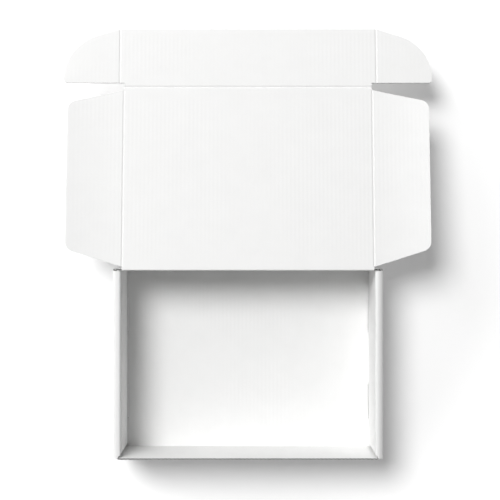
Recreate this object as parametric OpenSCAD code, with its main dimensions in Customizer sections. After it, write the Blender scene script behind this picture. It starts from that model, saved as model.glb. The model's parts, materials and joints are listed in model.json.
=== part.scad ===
// Folding gift box: one sheet of thin corrugated board, die-cut, creased and folded into a tray
// with double side walls, an attached lid, two lid side flaps and a tuck flap with two ears.
// Millimetres. +X right, +Y towards the lid hinge, +Z up. Origin: centre of the tray's underside.
// The lid is drawn open, hanging back from the hinge.

/* [Board] */
// Thickness of the corrugated board
board = 1.5; // [1.3:0.1:1.6]
// Inside radius of a folded crease
fold_r = 0.5; // [0.3:0.1:0.8]
// Gap between the two sides of a crease that moves
crease_gap = 0.5; // [0.4:0.1:0.8]
// Clearance round every panel that slides into the tray
play = 0.3; // [0.2:0.05:0.4]

/* [Tray] */
// Outside width of the tray, left to right
tray_w = 221.2; // [180:0.2:260]
// Outside depth of the tray, front to back
tray_d = 155.4; // [130:0.2:200]
// Height inside, from the floor to the closed lid
inner_h = 50.8; // [48:0.2:70]
// Reach of the dust flaps along the side walls
dust_reach = 46; // [30:1:55]
// Length of each locking tab under an inner wall
tab_len = 26; // [16:1:30]
// Distance of each locking tab from the middle of its wall
tab_y = 37.3; // [30:0.1:42]
// Width of the slot that a locking tab drops into
slot_w = 2.7; // [2.5:0.1:3]

/* [Lid] */
// How far the open lid hangs below level
droop = 6; // [0:0.5:8]
// Reach of the side flaps beyond their creases
flap_reach = 46; // [30:0.5:47]
// Taper of a side flap's front edge
flap_front_taper = 13; // [5:1:16]
// Taper of a side flap's hinge edge
flap_back_taper = 17; // [5:1:20]
// Rounding of a side flap's outer corners
flap_r = 8; // [2:1:12]
// Reach of the tuck flap beyond its crease
tuck_reach = 49.2; // [47:0.1:50]
// Reach of the ears beyond their creases
ear_reach = 46.3; // [44:0.1:48]
// Taper of an ear's free edge
ear_taper = 17.2; // [14:0.1:17.4]
// Large rounding of an ear's outer corner
ear_r = 37.8; // [20:0.1:37.8]
// Distance of an ear's inner edge from the tuck crease
ear_drop = 3.4; // [3.3:0.1:5]

/* [Hidden] */
$fn = 64;
half = board / 2;
bend_r = fold_r + board;                  // outside radius of a folded crease
edge = half + crease_gap;                 // a moving panel's square edge, from its crease axis
axis_z = board + inner_h + half;          // lid hinge height
rim_z = board + inner_h - play;           // top of the side rails and of the front wall
out_x = tray_w / 2;                       // outer face of a side wall
dust_x = out_x - board;                   // outer face of a dust flap
core_x = dust_x - 2 * board - 2 * play;   // outer face of an inner wall
in_x = core_x - board;                    // inner face of an inner wall
ear_x = dust_x - board - play - half;     // ear crease
flap_x = in_x - play - half;              // side flap crease
out_y = tray_d / 2;                       // outer face of the front and back walls
in_y = out_y - board;                     // their inner face
hinge_y = out_y - half;
lid_len = hinge_y + in_y - play - half;   // hinge axis to tuck crease
floor_x = out_x - bend_r;                 // where the floor's side bends begin
floor_y = out_y - bend_r;
wall_x = dust_x - bend_r;                 // where the front and back walls' corner bends begin
dust_z = bend_r + play;                   // lower edge of a dust flap
dust_top = rim_z - bend_r - play;         // upper edge of a dust flap
inner_front = in_y - play - board - 0.8;  // front end of an inner wall leaves room for the tuck flap
rail_cut = 2.3;                           // how far the rail's front corner is cut back sideways
flap_from = 2.6;                          // where a side flap's root begins, from the hinge
flap_to = lid_len - 2.8;                  // where it ends
slit = 0.45;                              // half the width of the slit beside the lid's corner
tab_depth = board - 0.2;                  // a locking tab stops just above the underside
corner_lap = 0.03;                        // see corner_cut

// colours of the white board, a shade apart so that neighbouring panels can be told apart
white_a = [0.96, 0.96, 0.95];
white_b = [0.90, 0.90, 0.89];
white_c = [0.84, 0.84, 0.83];

function unit(v) = v / norm(v);
function corner_angle(a, b, c) = acos(unit(a - b) * unit(c - b));
function tangent_point(from, to, r, angle) = from + unit(to - from) * r / tan(angle / 2);
function round_centre(a, b, c, r) =
    b + unit(unit(a - b) + unit(c - b)) * r / sin(corner_angle(a, b, c) / 2);

// What to cut from the corner b between a and c to round it. The arc stands corner_lap proud of the
// two edges, so that it crosses them cleanly.
module corner_cut(a, b, c, r) {
    t = corner_angle(a, b, c);
    m = round_centre(a, b, c, r);
    difference() {
        polygon([m, m + 2 * (tangent_point(b, a, r, t) - m), m + 2 * (b - m),
            m + 2 * (tangent_point(b, c, r, t) - m)]);
        translate(m) circle(r + corner_lap);
    }
}

// A convex outline, anticlockwise, whose corners have the radii in rs (0 leaves a corner sharp)
module rounded(pts, rs) difference() {
    n = len(pts);
    polygon(pts);
    for (i = [0 : n - 1]) if (rs[i] > 0)
        corner_cut(pts[(i + n - 1) % n], pts[i], pts[(i + 1) % n], rs[i]);
}

module at_side(side) { if (side < 0) mirror([1, 0, 0]) children(); else children(); }
module at_end(end) { if (end < 0) mirror([0, 1, 0]) children(); else children(); }

// A flat piece of board in the lid's own frame: hinge axis on X, +Y away from it, inner face up
module lid_frame() translate([0, hinge_y, axis_z]) rotate([-droop, 0, 0]) children();
module sheet() translate([0, 0, -half]) linear_extrude(board) children();

// The rounded edge of the panel that a moving crease hangs on
module crease_x(x, y) translate([-x, y, 0]) rotate([0, 90, 0]) cylinder(r = half, h = 2 * x);
module crease_y(x, y0, y1) translate([x, y0, 0]) rotate([-90, 0, 0]) cylinder(r = half, h = y1 - y0);

// A quarter-round fold in plan, centred on the origin, filling +X +Y
module fold_2d() intersection() {
    difference() { circle(bend_r); circle(fold_r); }
    square(bend_r + 1);
}
// The fold between the floor and a wall that rises at +X, running along Y
module floor_fold(length) translate([0, length / 2, bend_r]) rotate([90, 0, 0])
    linear_extrude(length) mirror([0, 1]) fold_2d();

module bottom_panel() color(white_a) difference() {
    translate([-floor_x, -floor_y, 0]) cube([2 * floor_x, 2 * floor_y, board]);
    for (x = [-1, 1], y = [-1, 1])
        translate([x * (core_x + 0.4 - slot_w / 2) - slot_w / 2, y * tab_y - tab_len / 2 - 1.5, -1])
            cube([slot_w, tab_len + 3, board + 2]);
}

module end_wall(top, narrow_x) {
    translate([0, -floor_y, 0]) rotate(-90) floor_fold(2 * wall_x);
    translate([-wall_x, -out_y, bend_r]) cube([2 * wall_x, board, dust_top - bend_r]);
    translate([-narrow_x, -out_y, dust_top]) cube([2 * narrow_x, board, top - dust_top]);
}
module front_wall() color(white_b) end_wall(rim_z, in_x + rail_cut - play);
module back_wall() color(white_b) {
    at_end(-1) end_wall(axis_z, wall_x);
    translate([0, 0, axis_z]) crease_x(wall_x, hinge_y);
}

module outer_wall() {
    translate([floor_x, 0, 0]) floor_fold(2 * floor_y - 0.6);
    translate([dust_x, -out_y + 0.2, bend_r]) cube([board, 2 * out_y - 0.4, rim_z - 2 * bend_r]);
}
module left_outer_wall() color(white_b) at_side(-1) outer_wall();
module right_outer_wall() color(white_b) at_side(1) outer_wall();

module top_rail() difference() {
    translate([0, in_y - play, 0]) rotate([90, 0, 0]) linear_extrude(in_y - play + out_y - 0.2) {
        translate([floor_x, rim_z - bend_r]) fold_2d();
        translate([in_x + bend_r, rim_z - bend_r]) mirror([1, 0]) fold_2d();
        translate([in_x + bend_r, rim_z - board]) square([floor_x - in_x - bend_r, board]);
    }
    // the inner corner is cut back at the front so that the tuck flap can pass
    translate([0, 0, rim_z - bend_r - 1]) linear_extrude(bend_r + 2)
        polygon([[in_x - 1, -out_y - 1], [in_x + rail_cut, -out_y - 1], [in_x + rail_cut, -in_y],
            [in_x, -inner_front], [in_x - 1, -inner_front]]);
}
module left_top_rail() color(white_a) at_side(-1) top_rail();
module right_top_rail() color(white_a) at_side(1) top_rail();

module inner_wall() {
    translate([in_x, -inner_front, board])
        cube([board, inner_front + in_y - play, rim_z - bend_r - board]);
    for (y = [-1, 1]) translate([in_x, y * tab_y, board]) rotate([90, 0, 90]) linear_extrude(board)
        polygon([[-tab_len / 2, 0], [-tab_len / 2 + 1.5, -tab_depth],
            [tab_len / 2 - 1.5, -tab_depth], [tab_len / 2, 0]]);
}
module left_inner_wall() color(white_c) at_side(-1) inner_wall();
module right_inner_wall() color(white_c) at_side(1) inner_wall();

// A dust flap lies inside the outer side wall, hanging on the end wall's corner fold
module dust_flap() {
    translate([wall_x, floor_y, dust_z]) linear_extrude(dust_top - dust_z) fold_2d();
    translate([dust_x - board, 0, 0]) rotate([90, 0, 90]) linear_extrude(board)
        rounded([[floor_y, dust_z], [floor_y, dust_top], [floor_y - dust_reach, dust_top - 4],
            [floor_y - dust_reach, dust_z + 4]], [0, 0, 8, 8]);
}
module front_left_dust_flap() color(white_c) at_side(-1) at_end(-1) dust_flap();
module front_right_dust_flap() color(white_c) at_side(1) at_end(-1) dust_flap();
module back_left_dust_flap() color(white_c) at_side(-1) at_end(1) dust_flap();
module back_right_dust_flap() color(white_c) at_side(1) at_end(1) dust_flap();

module lid_panel() color(white_a) lid_frame() {
    sheet() translate([-flap_x, edge]) square([2 * flap_x, lid_len - edge]);
    for (x = [-1, 1]) crease_y(x * flap_x, flap_from, flap_to);
    crease_x(flap_x - slit, lid_len);
}

module lid_flap() lid_frame() sheet() translate([flap_x, 0])
    rounded([[edge, flap_from], [flap_reach, flap_from + flap_reach * tan(flap_back_taper)],
        [flap_reach, flap_to - flap_reach * tan(flap_front_taper)], [edge, flap_to]],
        [0, flap_r, flap_r, 0]);
module left_lid_flap() color(white_b) at_side(-1) lid_flap();
module right_lid_flap() color(white_b) at_side(1) lid_flap();

module tuck_flap() color(white_b) lid_frame() translate([0, lid_len, 0]) {
    sheet() polygon([[-ear_x, ear_drop], [-flap_x - slit, ear_drop], [-flap_x + slit, edge],
        [flap_x - slit, edge], [flap_x + slit, ear_drop], [ear_x, ear_drop],
        [ear_x, tuck_reach], [-ear_x, tuck_reach]]);
    for (x = [-1, 1]) crease_y(x * ear_x, ear_drop, tuck_reach);
}

module ear() lid_frame() sheet() translate([ear_x, lid_len])
    rounded([[edge, ear_drop], [ear_reach, ear_drop],
        [ear_reach, tuck_reach - ear_reach * tan(ear_taper)],
        [edge, tuck_reach - edge * tan(ear_taper)]], [0, 3.2, ear_r, 0]);
module left_ear() color(white_c) at_side(-1) ear();
module right_ear() color(white_c) at_side(1) ear();

bottom_panel();
front_wall();
back_wall();
left_outer_wall();
right_outer_wall();
left_top_rail();
right_top_rail();
left_inner_wall();
right_inner_wall();
front_left_dust_flap();
front_right_dust_flap();
back_left_dust_flap();
back_right_dust_flap();
lid_panel();
left_lid_flap();
right_lid_flap();
tuck_flap();
left_ear();
right_ear();
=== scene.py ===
"""White corrugated gift box: the looks. Every panel is built as the board it is, from two paper
liners and a fluted medium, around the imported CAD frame. Sizes here are in mm; meshes are in metres."""

import json
import math

import bmesh
import bpy
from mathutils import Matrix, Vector


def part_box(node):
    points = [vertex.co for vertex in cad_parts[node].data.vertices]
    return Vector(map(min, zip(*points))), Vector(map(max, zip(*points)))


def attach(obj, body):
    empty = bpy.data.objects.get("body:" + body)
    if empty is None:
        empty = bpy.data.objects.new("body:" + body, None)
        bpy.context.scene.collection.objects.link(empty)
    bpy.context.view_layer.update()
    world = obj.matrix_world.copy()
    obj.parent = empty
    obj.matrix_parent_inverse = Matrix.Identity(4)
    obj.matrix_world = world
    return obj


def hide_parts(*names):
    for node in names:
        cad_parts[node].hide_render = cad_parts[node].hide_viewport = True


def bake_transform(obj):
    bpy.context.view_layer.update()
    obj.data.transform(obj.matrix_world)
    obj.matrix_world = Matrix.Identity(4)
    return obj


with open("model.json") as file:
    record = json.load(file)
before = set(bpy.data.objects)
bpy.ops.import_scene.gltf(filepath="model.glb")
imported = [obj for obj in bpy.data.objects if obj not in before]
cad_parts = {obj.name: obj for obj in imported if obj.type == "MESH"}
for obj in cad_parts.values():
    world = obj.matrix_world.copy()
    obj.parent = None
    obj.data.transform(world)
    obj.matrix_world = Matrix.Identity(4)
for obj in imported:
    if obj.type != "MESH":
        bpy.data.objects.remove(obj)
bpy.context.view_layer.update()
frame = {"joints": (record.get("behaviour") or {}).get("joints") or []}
MM = 0.001


def box(node):
    low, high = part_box(node)
    return low / MM, high / MM


JOINTS = {j["name"]: j for j in frame["joints"]}
floor_low, floor_high = box("bottom_panel")
BOARD = floor_high.z - floor_low.z
HALF = BOARD / 2
FLOOR_X, FLOOR_Y = floor_high.x, floor_high.y
OUT_X = box("right_outer_wall")[1].x
OUT_Y = -box("front_wall")[0].y
WALL_X = box("front_wall")[1].x
RIM_Z = box("right_top_rail")[1].z
RAIL_FRONT, RAIL_BACK = box("right_top_rail")[0].y, box("right_top_rail")[1].y
IN_X = box("right_inner_wall")[0].x
CORE_FRONT, CORE_BACK = box("right_inner_wall")[0].y, box("right_inner_wall")[1].y
DUST_LOW = box("front_right_dust_flap")[0].z
DUST_END = OUT_Y + box("front_right_dust_flap")[1].y
BEND_R = OUT_X - FLOOR_X
MID_R = BEND_R - HALF
HINGE = Vector(JOINTS["lid_hinge"]["pos_m"]) / MM
ALONG = Vector(JOINTS["left_flap_crease"]["axis"]).normalized()
ACROSS = Vector((1, 0, 0))
UP = ACROSS.cross(ALONG)
DROOP = math.atan2(-ALONG.z, ALONG.y)
FLAP_X = JOINTS["right_flap_crease"]["pos_m"][0] / MM
EAR_X = JOINTS["right_ear_crease"]["pos_m"][0] / MM
LID_LENGTH = (Vector(JOINTS["tuck_crease"]["pos_m"]) / MM - HINGE).length

# The board
PITCH = 3.35            # one flute
LINER, MEDIUM = 0.18, 0.16   # thickness of a liner and of the fluted sheet
RIPPLE = 0.018          # how far the flutes show through a liner
STEP = PITCH / 8        # distance between stations
EDGE = HALF + 0.5       # a panel that moves starts this far from its crease axis
GROOVE = 0.42           # depth of a scored crease on the inner face
BEAD = 0.06             # and how far it stands out on the other face
FOLD_CRUSH = 0.25       # share of the thickness lost in a folded crease
FOLD_PUSH = 0.12        # how far the crushed board is pushed to the outside of a fold
PINCH, PINCH_REACH = 0.07, 1.0   # how a cut edge is pinched by the die
RIM = (0, 0.4, PINCH_REACH)      # lines at these distances from a cut edge follow its pinch
FAR = 9.0               # any distance from a cut edge beyond its pinch
BEND_STEP = 0.15        # distance between stations in the rails' bends
SHARP = math.radians(38)   # mesh edges that turn more than this stay sharp

# The blank's outlines
PLAY = 0.3              # clearance round a panel that passes another
FLAP_FROM, FLAP_TO = 2.6, LID_LENGTH - 2.8
FLAP_REACH, FLAP_FRONT_TAPER, FLAP_BACK_TAPER, FLAP_R = 46.0, 13.0, 17.0, 8.0
TUCK_REACH, EAR_REACH, EAR_TAPER, EAR_R, EAR_DROP = 49.2, 46.3, 17.2, 37.8, 3.4
SLIT = 0.45             # half the width of the slit beside the lid's corner
EAR_CORNER_R = 3.2
SLOT_LOW, SLOT_HIGH = IN_X - 0.8, IN_X + 1.9
TAB_Y, TAB_HALF, SLOT_HALF = 37.3, 13.0, 14.5
TAB_DEPTH, TAB_TAPER = BOARD - 0.2, 1.5
WALL_END = OUT_Y - 0.2  # a side wall stops just short of the front and back faces
RAIL_CUT = 2.3          # how far the rail's front corner is cut back sideways
FRONT_LEAN = 0.75       # how far the front wall's top leans out
SHOULDER_Z = RIM_Z - 2.6   # the front wall narrows here to pass between the rails
DUST_HIGH = RIM_Z - 5.2    # the dust flaps end under the rails' bends
DUST_SLOPE, DUST_R = 4, 8  # taper and rounding of a dust flap's free end


# ---------------------------------------------------------------- materials
def new_material(name):
    material = bpy.data.materials.new(name)
    material.use_nodes = True
    tree = material.node_tree
    shader = tree.nodes["Principled BSDF"]
    return material, tree, shader


def noise(tree, scale, detail, rough=0.55):
    node = tree.nodes.new("ShaderNodeTexNoise")
    node.inputs["Scale"].default_value = scale
    node.inputs["Detail"].default_value = detail
    node.inputs["Roughness"].default_value = rough
    coordinates = tree.nodes.new("ShaderNodeTexCoord")
    tree.links.new(coordinates.outputs["Object"], node.inputs["Vector"])
    return node.outputs["Fac"]


def ramp(tree, value, stops):
    node = tree.nodes.new("ShaderNodeValToRGB")
    elements = node.color_ramp.elements
    for i, (place, colour) in enumerate(stops):
        element = elements[i] if i < 2 else elements.new(place)
        element.position = place
        element.color = (*colour, 1)
    tree.links.new(value, node.inputs["Fac"])
    return node.outputs["Color"]


def multiply(tree, a, b):
    node = tree.nodes.new("ShaderNodeMix")
    node.data_type, node.blend_type = "RGBA", "MULTIPLY"
    node.inputs["Factor"].default_value = 1
    tree.links.new(a, node.inputs[6])
    tree.links.new(b, node.inputs[7])
    return node.outputs[2]


def bump(tree, shader, height, strength, distance):
    node = tree.nodes.new("ShaderNodeBump")
    node.inputs["Strength"].default_value = strength
    node.inputs["Distance"].default_value = distance
    tree.links.new(height, node.inputs["Height"])
    tree.links.new(node.outputs["Normal"], shader.inputs["Normal"])


def paper(name, base, dark, fleck):
    """Uncoated white paper: clouding from the making of the sheet, fine fibres and a few flecks."""
    material, tree, shader = new_material(name)
    cloud = ramp(tree, noise(tree, 60, 3), [(0.3, dark), (0.7, base)])
    flecks = ramp(tree, noise(tree, 1500, 2, 0.7), [(0.2, (fleck,) * 3), (0.3, (1, 1, 1))])
    tree.links.new(multiply(tree, cloud, flecks), shader.inputs["Base Color"])
    shader.inputs["Roughness"].default_value = 0.62
    shader.inputs["Specular IOR Level"].default_value = 0.25
    bump(tree, shader, noise(tree, 2600, 4, 0.65), 0.12, 0.00006)
    return material


LINER_PAPER = paper("white_liner", (0.865, 0.865, 0.86), (0.85, 0.85, 0.845), 0.94)
# The medium's dark tone is partly its own greyer paper and partly painted shade: it darkens the deep
# flute cavities seen at the cut edges.
MEDIUM_PAPER_AND_PAINTED_SHADE = paper("fluted_medium_and_painted_shade", (0.23, 0.225, 0.215), (0.19, 0.185, 0.175), 0.85)


# ---------------------------------------------------------------- the board
def steps(start, end, fine=()):
    """Stations across the flutes from start to end, closer together in each fine range."""
    found = {start, end}
    for low, high, step in [(start, end, STEP), *fine]:
        low, high = max(low, start), min(high, end)
        count = max(1, math.ceil((high - low) / step))
        found |= {low + (high - low) * i / count for i in range(count + 1)}
    kept = []
    for s in sorted(found):
        if not kept or s - kept[-1] > 0.02:
            kept.append(s)
    kept[-1] = end
    return kept


def flat(s, v):
    return 0.0, HALF


def pinched(distance):
    """The section of a panel whose cut edges are pinched; distance(s, v) is how far the nearest is."""
    def section(s, v):
        return 0.0, HALF * pinch(distance(s, v))
    return section


def scored(distance):
    """The section across a crease that moves, from its groove out to the full board."""
    t = (1 + math.cos(math.pi * min(abs(distance) / EDGE, 1))) / 2
    top, bottom = HALF - GROOVE * t, -HALF - BEAD * t
    return (top + bottom) / 2, (top - bottom) / 2


def everywhere(s, j):
    return True


def skin(mesh, stations, lines, there, place, low, high, tones):
    """Adds one closed sheet between the offsets low and high from the panel's middle.

    tones are the materials of its low side, its cut edges and its high side."""
    made = {}

    def corner(i, j, side):
        key = (i, j, side)
        if key not in made:
            s = stations[i]
            v = lines[j](s) if callable(lines[j]) else lines[j]
            made[key] = mesh.verts.new(place(s, v, (high if side else low)(s, v)) * MM)
        return made[key]

    n, m = len(stations), len(lines)
    full = [[there((stations[i] + stations[i + 1]) / 2, j) for j in range(m - 1)]
            for i in range(n - 1)]

    def filled(i, j):
        return 0 <= i < n - 1 and 0 <= j < m - 1 and full[i][j]

    def face(tone, *keys):
        mesh.faces.new([corner(*k) for k in keys]).material_index = tone

    for i in range(n - 1):
        for j in range(m - 1):
            if not full[i][j]:
                continue
            a, b, c, d = (i, j), (i + 1, j), (i + 1, j + 1), (i, j + 1)
            face(tones[2], (*a, 1), (*b, 1), (*c, 1), (*d, 1))
            face(tones[0], (*d, 0), (*c, 0), (*b, 0), (*a, 0))
            for (p, q), beside in (((a, b), (i, j - 1)), ((b, c), (i + 1, j)),
                                   ((c, d), (i, j + 1)), ((d, a), (i - 1, j))):
                if not filled(*beside):
                    face(tones[1], (*p, 0), (*q, 0), (*q, 1), (*p, 1))


def finish_piece(name, mesh, node=None):
    """Turns the mesh into an object with smooth curved faces and sharp cut edges."""
    bmesh.ops.recalc_face_normals(mesh, faces=mesh.faces)
    for edge in mesh.edges:
        if len(edge.link_faces) == 2 and edge.calc_face_angle(0) > SHARP:
            edge.smooth = False
    for f in mesh.faces:
        f.smooth = True
    data = bpy.data.meshes.new(name)
    mesh.to_mesh(data)
    mesh.free()
    data.materials.append(LINER_PAPER)
    data.materials.append(MEDIUM_PAPER_AND_PAINTED_SHADE)
    piece = bpy.data.objects.new(name, data)
    bpy.context.scene.collection.objects.link(piece)
    if node:
        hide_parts(node)
    return piece


def board(name, stations, lines, place, section=flat, there=everywhere, node=None):
    """A piece of corrugated board. s runs across the flutes, v along them, and w through the board.

    place(s, v, w) is a point, section(s, v) is the middle and half thickness there, and
    there(s, j) says whether the board has material between lines j and j + 1."""
    def wave(s):
        return math.sin(2 * math.pi * s / PITCH)

    def surface(side, inset):
        def offset(s, v):
            middle, half = section(s, v)
            return middle + side * (half + RIPPLE * wave(s) * side - inset)
        return offset

    def flute(side):
        def offset(s, v):
            middle, half = section(s, v)
            swing = half - LINER - MEDIUM / 2
            return middle + swing * wave(s) + side * MEDIUM / 2
        return offset

    mesh = bmesh.new()
    # Every face that looks into the flute cavities takes the dark medium paper, the liners' inner faces
    # too: this is painted shade inside the cavities. The cut edges take the white liner paper.
    skin(mesh, stations, lines, there, place, surface(1, LINER), surface(1, 0), (1, 0, 0))
    skin(mesh, stations, lines, there, place, surface(-1, 0), surface(-1, LINER), (0, 0, 1))
    skin(mesh, stations, lines, there, place, flute(-1), flute(1), (1, 0, 1))
    return finish_piece(name, mesh, node)


def rimmed(low, high):
    """Lines from the edge low(s) to the edge high(s), closer together at both."""
    return ([lambda s, d=d: low(s) + d for d in RIM]
            + [lambda s, d=d: high(s) - d for d in reversed(RIM)])


def from_outline(points, radii, segments=24):
    """A convex outline with rounded corners as span(s) -> (lowest v, highest v)."""
    outline = []
    for i, (point, radius) in enumerate(zip(points, radii)):
        before, here, after = (Vector(points[i - 1]), Vector(point),
                               Vector(points[(i + 1) % len(points)]))
        if not radius:
            outline.append(here)
            continue
        a, b = (before - here).normalized(), (after - here).normalized()
        half_angle = a.angle(b) / 2
        centre = here + (a + b).normalized() * radius / math.sin(half_angle)
        start = here + a * radius / math.tan(half_angle) - centre
        turn = math.pi - 2 * half_angle
        sign = 1 if start.x * (here - centre).y - start.y * (here - centre).x > 0 else -1
        for k in range(segments + 1):
            t = sign * turn * k / segments
            outline.append(centre + Vector((start.x * math.cos(t) - start.y * math.sin(t),
                                            start.x * math.sin(t) + start.y * math.cos(t))))
    ends = min(p.x for p in outline), max(p.x for p in outline)

    def span(s):
        s = min(max(s, ends[0] + 1e-4), ends[1] - 1e-4)
        hits = []
        for p, q in zip(outline, outline[1:] + outline[:1]):
            if (p.x - s) * (q.x - s) <= 0 and p.x != q.x:
                hits.append(p.y + (q.y - p.y) * (s - p.x) / (q.x - p.x))
        return min(hits), max(hits)
    return span


def outlined(span, last):
    """Lines and section for a panel with a free outline: cut edges at both v ends and at s = last."""
    def distance(s, v):
        low, high = span(s)
        return min(v - low, high - v, last - s)
    return rimmed(lambda s: span(s)[0], lambda s: span(s)[1]), pinched(distance)


def track(*parts):
    """A line in a plane made of straights and arcs, as at(s) -> (point, normal on its left)."""
    def at(s):
        for kind, *facts in parts:
            length = facts[-1]
            if s <= length or (kind, *facts) == parts[-1]:
                if kind == "line":
                    start, direction = facts[0], facts[1]
                    return start + direction * s, Vector((-direction.y, direction.x))
                centre, radius, start, turn = facts[:4]
                angle = start + turn * s / length
                out = Vector((math.cos(angle), math.sin(angle)))
                return centre + out * radius, -out * (1 if turn > 0 else -1)
            s -= length
    return at


QUARTER = MID_R * math.pi / 2


def quarter(centre):
    """The bend that turns a strip up out of the floor, or round a corner."""
    return "arc", centre, MID_R, -math.pi / 2, math.pi / 2, QUARTER


def folded(*ranges):
    """The section of a board that is crushed in its folds, each a (start, end) along s or v."""
    def section(x):
        for low, high in ranges:
            if low < x < high:
                t = math.sin(math.pi * (x - low) / (high - low)) ** 2
                return -FOLD_PUSH * t, HALF * (1 - FOLD_CRUSH * t)
        return 0.0, HALF
    return section


def pinch(distance):
    """Share of the thickness left at a distance from a cut edge."""
    t = min(max(distance / PINCH_REACH, 0), 1)
    return 1 - PINCH * (1 - t) ** 2


# ---------------------------------------------------------------- the tray
SLOTS = (-TAB_Y - SLOT_HALF, -TAB_Y + SLOT_HALF, TAB_Y - SLOT_HALF, TAB_Y + SLOT_HALF)


def floor_there(s, j):
    return not (SLOT_LOW < abs(s) < SLOT_HIGH and j in (1, 3))


slot_sides = [x for side in (-1, 1) for x in (side * SLOT_LOW, side * SLOT_HIGH)]
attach(board(
    "floor", sorted(set(steps(-FLOOR_X, FLOOR_X)) | set(slot_sides)),
    [-FLOOR_Y, *SLOTS, FLOOR_Y], lambda s, v, w: Vector((s, v, HALF + w)),
    there=floor_there, node="bottom_panel"), "tray")


def side_strip(side, word, rail_r, turn_r):
    """A side wall, its rail and its inner wall: one strip that rises, turns over and comes down.

    rail_r is the outside radius of the rail's outer bend, turn_r the middle radius of its inner
    fold, which the inner wall hangs from."""
    top_x = IN_X + HALF
    wall_length = RIM_Z - rail_r - BEND_R
    bend = (rail_r - HALF) * math.pi / 2
    rail_flat = OUT_X - rail_r - top_x - turn_r
    turn = turn_r * math.pi / 2
    top = Vector((top_x, RIM_Z - HALF - turn_r))
    core_length = top.y - BOARD
    rail_start = QUARTER + wall_length
    rail_end = rail_start + bend + rail_flat + turn
    core_end = rail_end + core_length
    path = track(
        quarter(Vector((FLOOR_X, BEND_R))),
        ("line", Vector((OUT_X - HALF, BEND_R)), Vector((0, 1)), wall_length),
        ("arc", Vector((OUT_X - rail_r, RIM_Z - rail_r)), rail_r - HALF, 0, math.pi / 2, bend),
        ("line", Vector((OUT_X - rail_r, RIM_Z - HALF)), Vector((-1, 0)), rail_flat),
        ("arc", top + Vector((turn_r, 0)), turn_r, math.pi / 2, math.pi / 2, turn),
        ("line", top, Vector((0, -1)), core_length + TAB_DEPTH))
    fold = folded((0, QUARTER), (rail_end - turn * 1.5, rail_end + turn * 0.5))

    def place(s, v, w):
        point, normal = path(s)
        point = point + normal * w
        return Vector((side * point.x, v, point.y))

    def strip(name, node, low, high, stations):
        def section(s, v):
            middle, half = fold(s)
            return middle, half * pinch(min(v - low(s), high(s) - v))
        lines = rimmed(low, high)
        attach(board(f"{word}_side_{name}", stations, lines, place, section,
                      node=f"{word}_{node}"), "tray")

    def wall_end(s):
        """Half the wall's length: shorter in its floor fold, which clears the corner."""
        t = min(max((s - QUARTER * 0.7) / 1.6, 0), 1)
        short = FLOOR_Y - PLAY
        return short + (WALL_END - short) * t * t * (3 - 2 * t)

    def rail_front(s):
        """The rail's inner corner is cut back, so that the tuck flap can pass."""
        t = (path(s)[0].x - IN_X) / RAIL_CUT
        return RAIL_FRONT if t >= 1 else CORE_FRONT + (BOARD - OUT_Y - CORE_FRONT) * max(t, 0)

    def tab_edge(sign, centre):
        def edge(s):
            return centre + sign * (TAB_HALF - TAB_TAPER * max(0, s - core_end) / TAB_DEPTH)
        return edge

    def core_section(s, v):
        middle, half = fold(s)
        end = min(v - CORE_FRONT, CORE_BACK - v, core_end + TAB_DEPTH - s)
        return middle, half * pinch(end)

    strip("outer", "outer_wall", lambda s: -wall_end(s), wall_end,
          steps(0, rail_start, [(0, QUARTER + 1.6, 0.2)]))
    strip("rail", "top_rail", rail_front, lambda s: RAIL_BACK,
          steps(rail_start, rail_end, [(rail_start, rail_end, BEND_STEP)]))
    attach(board(
        word + "_side_inner",
        sorted(set(steps(rail_end, core_end, [(rail_end, rail_end + 1, BEND_STEP)]))
               | set(steps(core_end, core_end + TAB_DEPTH))),
        [CORE_FRONT, tab_edge(-1, -TAB_Y), tab_edge(1, -TAB_Y),
         tab_edge(-1, TAB_Y), tab_edge(1, TAB_Y), CORE_BACK],
        place, core_section, lambda s, j: s < core_end or j in (1, 3),
        word + "_inner_wall"), "tray")


side_strip(-1, "left", 3.0, 1.2)
side_strip(1, "right", 4.6, 0.7)

# The front and back walls, which fold up from the floor along X
end_track = track(
    quarter(Vector((FLOOR_Y, BEND_R))),
    ("line", Vector((OUT_Y - HALF, BEND_R)), Vector((0, 1)), 100.0))
SHOULDER = QUARTER + SHOULDER_Z - BEND_R
end_fold = folded((0, QUARTER))


def leaned(point):
    """The front wall and its corner flaps lean out, more towards their tops."""
    return point - Vector((0, FRONT_LEAN * point.z / RIM_Z, 0)) if point.y < 0 else point


def end_place(end):
    def place(s, v, w):
        point, normal = end_track(v)
        point = point + normal * w
        return leaned(Vector((s, end * point.x, point.y)))
    return place


def end_section(top):
    def section(s, v):
        middle, half = end_fold(v)
        return middle, half * (pinch(top - v) if top else 1)
    return section


fold_lines = [QUARTER * i / 8 for i in range(9)]
FRONT_TOP = QUARTER + RIM_Z - BEND_R
NARROW_X = IN_X + RAIL_CUT - PLAY
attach(board(
    "front_wall_panel", sorted(set(steps(-WALL_X, WALL_X)) | {-NARROW_X, NARROW_X}),
    [*fold_lines, SHOULDER, *(FRONT_TOP - d for d in reversed(RIM))],
    end_place(-1), end_section(FRONT_TOP),
    lambda s, j: j < len(fold_lines) or abs(s) < NARROW_X, "front_wall"), "tray")

BACK_TOP = QUARTER + HINGE.z - EDGE - BEND_R
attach(board(
    "back_wall_panel", sorted(set(steps(-WALL_X, WALL_X)) | {-FLAP_X, FLAP_X}),
    [*fold_lines, BACK_TOP, BACK_TOP + 0.45], end_place(1), end_section(None),
    lambda s, j: j < len(fold_lines) or abs(s) > FLAP_X, "back_wall"), "tray")

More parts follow.
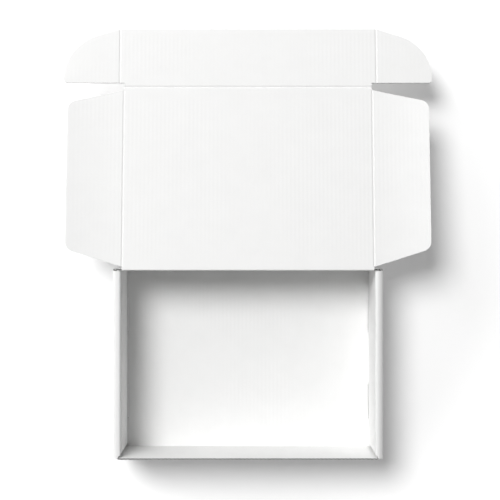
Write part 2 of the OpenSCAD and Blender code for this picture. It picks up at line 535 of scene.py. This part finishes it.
# Dust flaps turn the corner from the front and back walls and lie inside the side walls
dust_track = track(
    quarter(Vector((WALL_X, -FLOOR_Y))),
    ("line", Vector((WALL_X + MID_R, -FLOOR_Y)), Vector((0, 1)), 100.0))
dust_fold = folded((0, QUARTER))
DUST_LENGTH = QUARTER + DUST_END - (OUT_Y - FLOOR_Y)
dust_span = from_outline(
    [(0, DUST_LOW), (QUARTER, DUST_LOW), (DUST_LENGTH, DUST_LOW + DUST_SLOPE),
     (DUST_LENGTH, DUST_HIGH - DUST_SLOPE), (QUARTER, DUST_HIGH), (0, SHOULDER_Z)],
    [0, 0, DUST_R, DUST_R, 0, 0])
for end, end_word in ((1, "front"), (-1, "back")):
    for side, side_word in ((-1, "left"), (1, "right")):
        def place(s, v, w, side=side, end=end):
            point, normal = dust_track(s)
            point = point + normal * w
            return leaned(Vector((side * point.x, end * point.y, v)))

        lines, cut = outlined(dust_span, DUST_LENGTH)

        def section(s, v, cut=cut):
            middle, half = dust_fold(s)
            return middle, half * cut(s, v)[1] / HALF

        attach(board(
            f"{end_word}_{side_word}_corner_flap",
            steps(0, DUST_LENGTH, [(0, QUARTER, 0.2), (DUST_LENGTH - 2, DUST_LENGTH, 0.1)]),
            lines, place, section,
            node=f"{end_word}_{side_word}_dust_flap"), "tray")


# ---------------------------------------------------------------- the lid
def lid_place(side=1, x=0.0, y=0.0, rise=0.0, reach=1.0):
    """The lid's own frame. A flap bows up by rise at its reach, as creased board springs back."""
    def place(s, v, w):
        bow = rise * (max(s - EDGE, 0) / (reach - EDGE)) ** 2
        return HINGE + ACROSS * (side * (x + s)) + ALONG * (y + v) + UP * (w + bow)
    return place


def crease_near(x):
    """How far a point of the lid is from the nearest cut edge: only its four corners have one."""
    return lambda s, v: x - abs(s) if v < FLAP_FROM or v > FLAP_TO else FAR


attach(board(
    "lid_top", sorted(set(steps(-FLAP_X, FLAP_X)) | {-FLAP_X + EDGE, FLAP_X - EDGE}),
    [EDGE, FLAP_FROM, FLAP_TO, LID_LENGTH - EDGE], lid_place(),
    pinched(crease_near(FLAP_X)), lambda s, j: j != 1 or abs(s) < FLAP_X - EDGE,
    "lid_panel"), "lid")

flap_span = from_outline(
    [(EDGE, FLAP_FROM),
     (FLAP_REACH, FLAP_FROM + FLAP_REACH * math.tan(math.radians(FLAP_BACK_TAPER))),
     (FLAP_REACH, FLAP_TO - FLAP_REACH * math.tan(math.radians(FLAP_FRONT_TAPER))),
     (EDGE, FLAP_TO)], [0, FLAP_R, FLAP_R, 0])
ear_slope = math.tan(math.radians(EAR_TAPER))
ear_span = from_outline(
    [(EDGE, EAR_DROP), (EAR_REACH, EAR_DROP), (EAR_REACH, TUCK_REACH - EAR_REACH * ear_slope),
     (EDGE, TUCK_REACH - EDGE * ear_slope)], [0, EAR_CORNER_R, EAR_R, 0])
CREASE_STEPS = [-EDGE + EDGE * i / 8 for i in range(17)]


def across_crease(s, v):
    return scored(s)


EAR_RISE = 0.15         # the ears bow up far less than the side flaps, to clear the rails
for side, word, flap_rise in ((-1, "left", 3.0), (1, "right", 5.0)):
    body, ear_body = word + "_side_flap", word + "_tuck_ear"
    lines, section = outlined(flap_span, FLAP_REACH)
    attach(board(
        word + "_flap", steps(EDGE, FLAP_REACH, [(FLAP_REACH - 1.5, FLAP_REACH, 0.08)]),
        lines, lid_place(side, FLAP_X, 0, flap_rise, FLAP_REACH), section,
        node=word + "_lid_flap"), body)
    crease = board(word + "_flap_fold", CREASE_STEPS, [FLAP_FROM, FLAP_TO],
                   lid_place(side, FLAP_X), across_crease)
    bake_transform(crease)

    lines, section = outlined(ear_span, EAR_REACH)
    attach(board(
        word + "_tuck_corner", steps(EDGE, EAR_REACH, [(EAR_REACH - 1.5, EAR_REACH, 0.08)]),
        lines, lid_place(side, EAR_X, LID_LENGTH, EAR_RISE, EAR_REACH), section,
        node=word + "_ear"), ear_body)
    crease = board(word + "_ear_fold", CREASE_STEPS,
                   [EAR_DROP, lambda s: TUCK_REACH - max(s, 0) * ear_slope],
                   lid_place(side, EAR_X, LID_LENGTH), across_crease)
    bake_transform(crease)

TUCK_X = EAR_X - EDGE
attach(board(
    "tuck_panel", sorted(set(steps(-TUCK_X, TUCK_X)) | {-FLAP_X + SLIT, FLAP_X - SLIT}),
    [EDGE, EAR_DROP, *(TUCK_REACH - d for d in reversed(RIM))],
    lid_place(y=LID_LENGTH), pinched(lambda s, v: TUCK_REACH - v),
    lambda s, j: j > 0 or abs(s) < FLAP_X - SLIT, "tuck_flap"), "tuck")
crease = board("tuck_fold", steps(-FLAP_X + SLIT, FLAP_X - SLIT), CREASE_STEPS,
               lid_place(y=LID_LENGTH), lambda s, v: scored(v))
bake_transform(crease)


# The hinge crease: two liners that bend round the axis. While the lid is open, the inner liner is
# on the outside of the bend
def turned(radius, degrees):
    """A point about the hinge axis: 0 is away from the tray, 90 up."""
    a = math.radians(degrees)
    return Vector((radius * math.cos(a), radius * math.sin(a)))


def hinge_liner(name, middle):
    """A bent liner of even thickness along the hinge, given as points of its middle line.

    It goes over from the tray to the lid within reach of the axis."""
    mesh = bmesh.new()
    stations = steps(-FLAP_X, FLAP_X)
    rows = []
    for i, point in enumerate(middle):
        direction = (middle[min(i + 1, len(middle) - 1)] - middle[max(i - 1, 0)]).normalized()
        normal = Vector((-direction.y, direction.x)) * LINER / 2
        rows.append((point - normal, point + normal))

    def place(s, v, w):
        low, high = rows[int(v)]
        point = low + (high - low) * w
        return HINGE + Vector((s, point.x, point.y))

    skin(mesh, stations, list(range(len(middle))), everywhere, place,
         lambda s, v: 0.0, lambda s, v: 1.0, (0, 0, 0))
    piece = finish_piece(name, mesh)
    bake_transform(piece)


lid_angle = 90 - math.degrees(DROOP)
inner_r = HALF - LINER / 2
lid_out, lid_up = turned(1, -math.degrees(DROOP)), turned(1, lid_angle)
hinge_liner("hinge_fold_inner", [
    Vector((-inner_r, -EDGE)), Vector((-inner_r, -0.6)),
    *[turned(inner_r - 0.1 * math.sin(math.pi * i / 12), 180 - (180 - lid_angle) * i / 12)
      for i in range(13)],
    lid_up * inner_r + lid_out * 0.6, lid_up * inner_r + lid_out * EDGE])
BUCKLE, BUCKLE_FROM = 0.52, 0.9   # the outer liner is pressed in towards the axis
hinge_liner("hinge_fold_outer", [
    Vector((inner_r, -EDGE)), Vector((BUCKLE, -BUCKLE_FROM)), turned(0.5, -48),
    lid_out * BUCKLE_FROM - lid_up * BUCKLE, lid_out * EDGE - lid_up * inner_r])


# ---------------------------------------------------------------- floor, light and camera
floor_mesh = bmesh.new()
bmesh.ops.create_grid(floor_mesh, x_segments=1, y_segments=1, size=3)
floor_data = bpy.data.meshes.new("studio_floor")
floor_mesh.to_mesh(floor_data)
floor_mesh.free()
floor_material, floor_tree, floor_shader = new_material("studio_floor")
floor_shader.inputs["Base Color"].default_value = (0.94, 0.94, 0.94, 1)
floor_shader.inputs["Roughness"].default_value = 0.9
floor_shader.inputs["Emission Color"].default_value = (1, 1, 1, 1)
floor_place = floor_tree.nodes.new("ShaderNodeTexCoord").outputs["Object"]


def painted_floor_glow(centre, near, far, inside, outside):
    """A glow of painted light on the floor that goes from inside to outside between two distances from a
    point, in metres.
    """
    away = floor_tree.nodes.new("ShaderNodeVectorMath")
    away.operation = "DISTANCE"
    away.inputs[1].default_value = centre
    blend = floor_tree.nodes.new("ShaderNodeMapRange")
    blend.interpolation_type = "SMOOTHSTEP"
    for socket, value in (("From Min", near), ("From Max", far),
                          ("To Min", inside), ("To Max", outside)):
        blend.inputs[socket].default_value = value
    floor_tree.links.new(floor_place, away.inputs[0])
    floor_tree.links.new(away.outputs["Value"], blend.inputs["Value"])
    return blend.outputs["Result"]


# Painted light: the floor glows, faintly inside the box's shadow and brighter beyond it, and a glowing
# spot below the notch on the lit side of the lid washes out the lid's shadow there
painted_glow_sum = floor_tree.nodes.new("ShaderNodeMath")
floor_tree.links.new(painted_floor_glow((0, 0.1, 0), 0.2, 0.29, 0.09, 0.3), painted_glow_sum.inputs[0])
floor_tree.links.new(painted_floor_glow((-0.128, 0.229, 0), 0.014, 0.042, 0.3, 0), painted_glow_sum.inputs[1])
floor_tree.links.new(painted_glow_sum.outputs["Value"], floor_shader.inputs["Emission Strength"])
floor_shader.inputs["Specular IOR Level"].default_value = 0.1
floor_data.materials.append(floor_material)
studio_floor = bpy.data.objects.new("studio_floor", floor_data)
bpy.context.scene.collection.objects.link(studio_floor)

world = bpy.data.worlds.new("studio")
world.use_nodes = True
sky = world.node_tree.nodes["Background"]
sky.inputs["Color"].default_value = (1, 1, 1, 1)
sky.inputs["Strength"].default_value = 0.22
bpy.context.scene.world = world

LIGHT_DISTANCE = 4.5    # metres
LIGHT_AIM = Vector((0, 0.1, 0.03))


def soft_light(name, towards, size, power):
    """A round softbox that shines on the box from the direction towards."""
    towards = Vector(towards).normalized()
    light = bpy.data.lights.new(name, "AREA")
    light.shape, light.size, light.energy = "DISK", size, power
    lamp = bpy.data.objects.new(name, light)
    lamp.location = LIGHT_AIM + towards * LIGHT_DISTANCE
    lamp.rotation_mode = "QUATERNION"
    lamp.rotation_quaternion = towards.to_track_quat("Z", "Y")
    bpy.context.scene.collection.objects.link(lamp)


soft_light("key", (-0.41, 0.46, 1), 2.35, 174.0)
soft_light("low_fill", (-1.35, 1.35, 1), 2.46, 38.0)

lens = bpy.data.cameras.new("camera")
lens.lens, lens.sensor_width = 76.94, 36.0
lens.clip_start, lens.clip_end = 0.05, 20.0
camera = bpy.data.objects.new("camera", lens)
camera.location = (0.0016, 0.0930, 0.9244)
bpy.context.scene.collection.objects.link(camera)
bpy.context.scene.camera = camera
bpy.context.scene.view_settings.view_transform = "Standard"
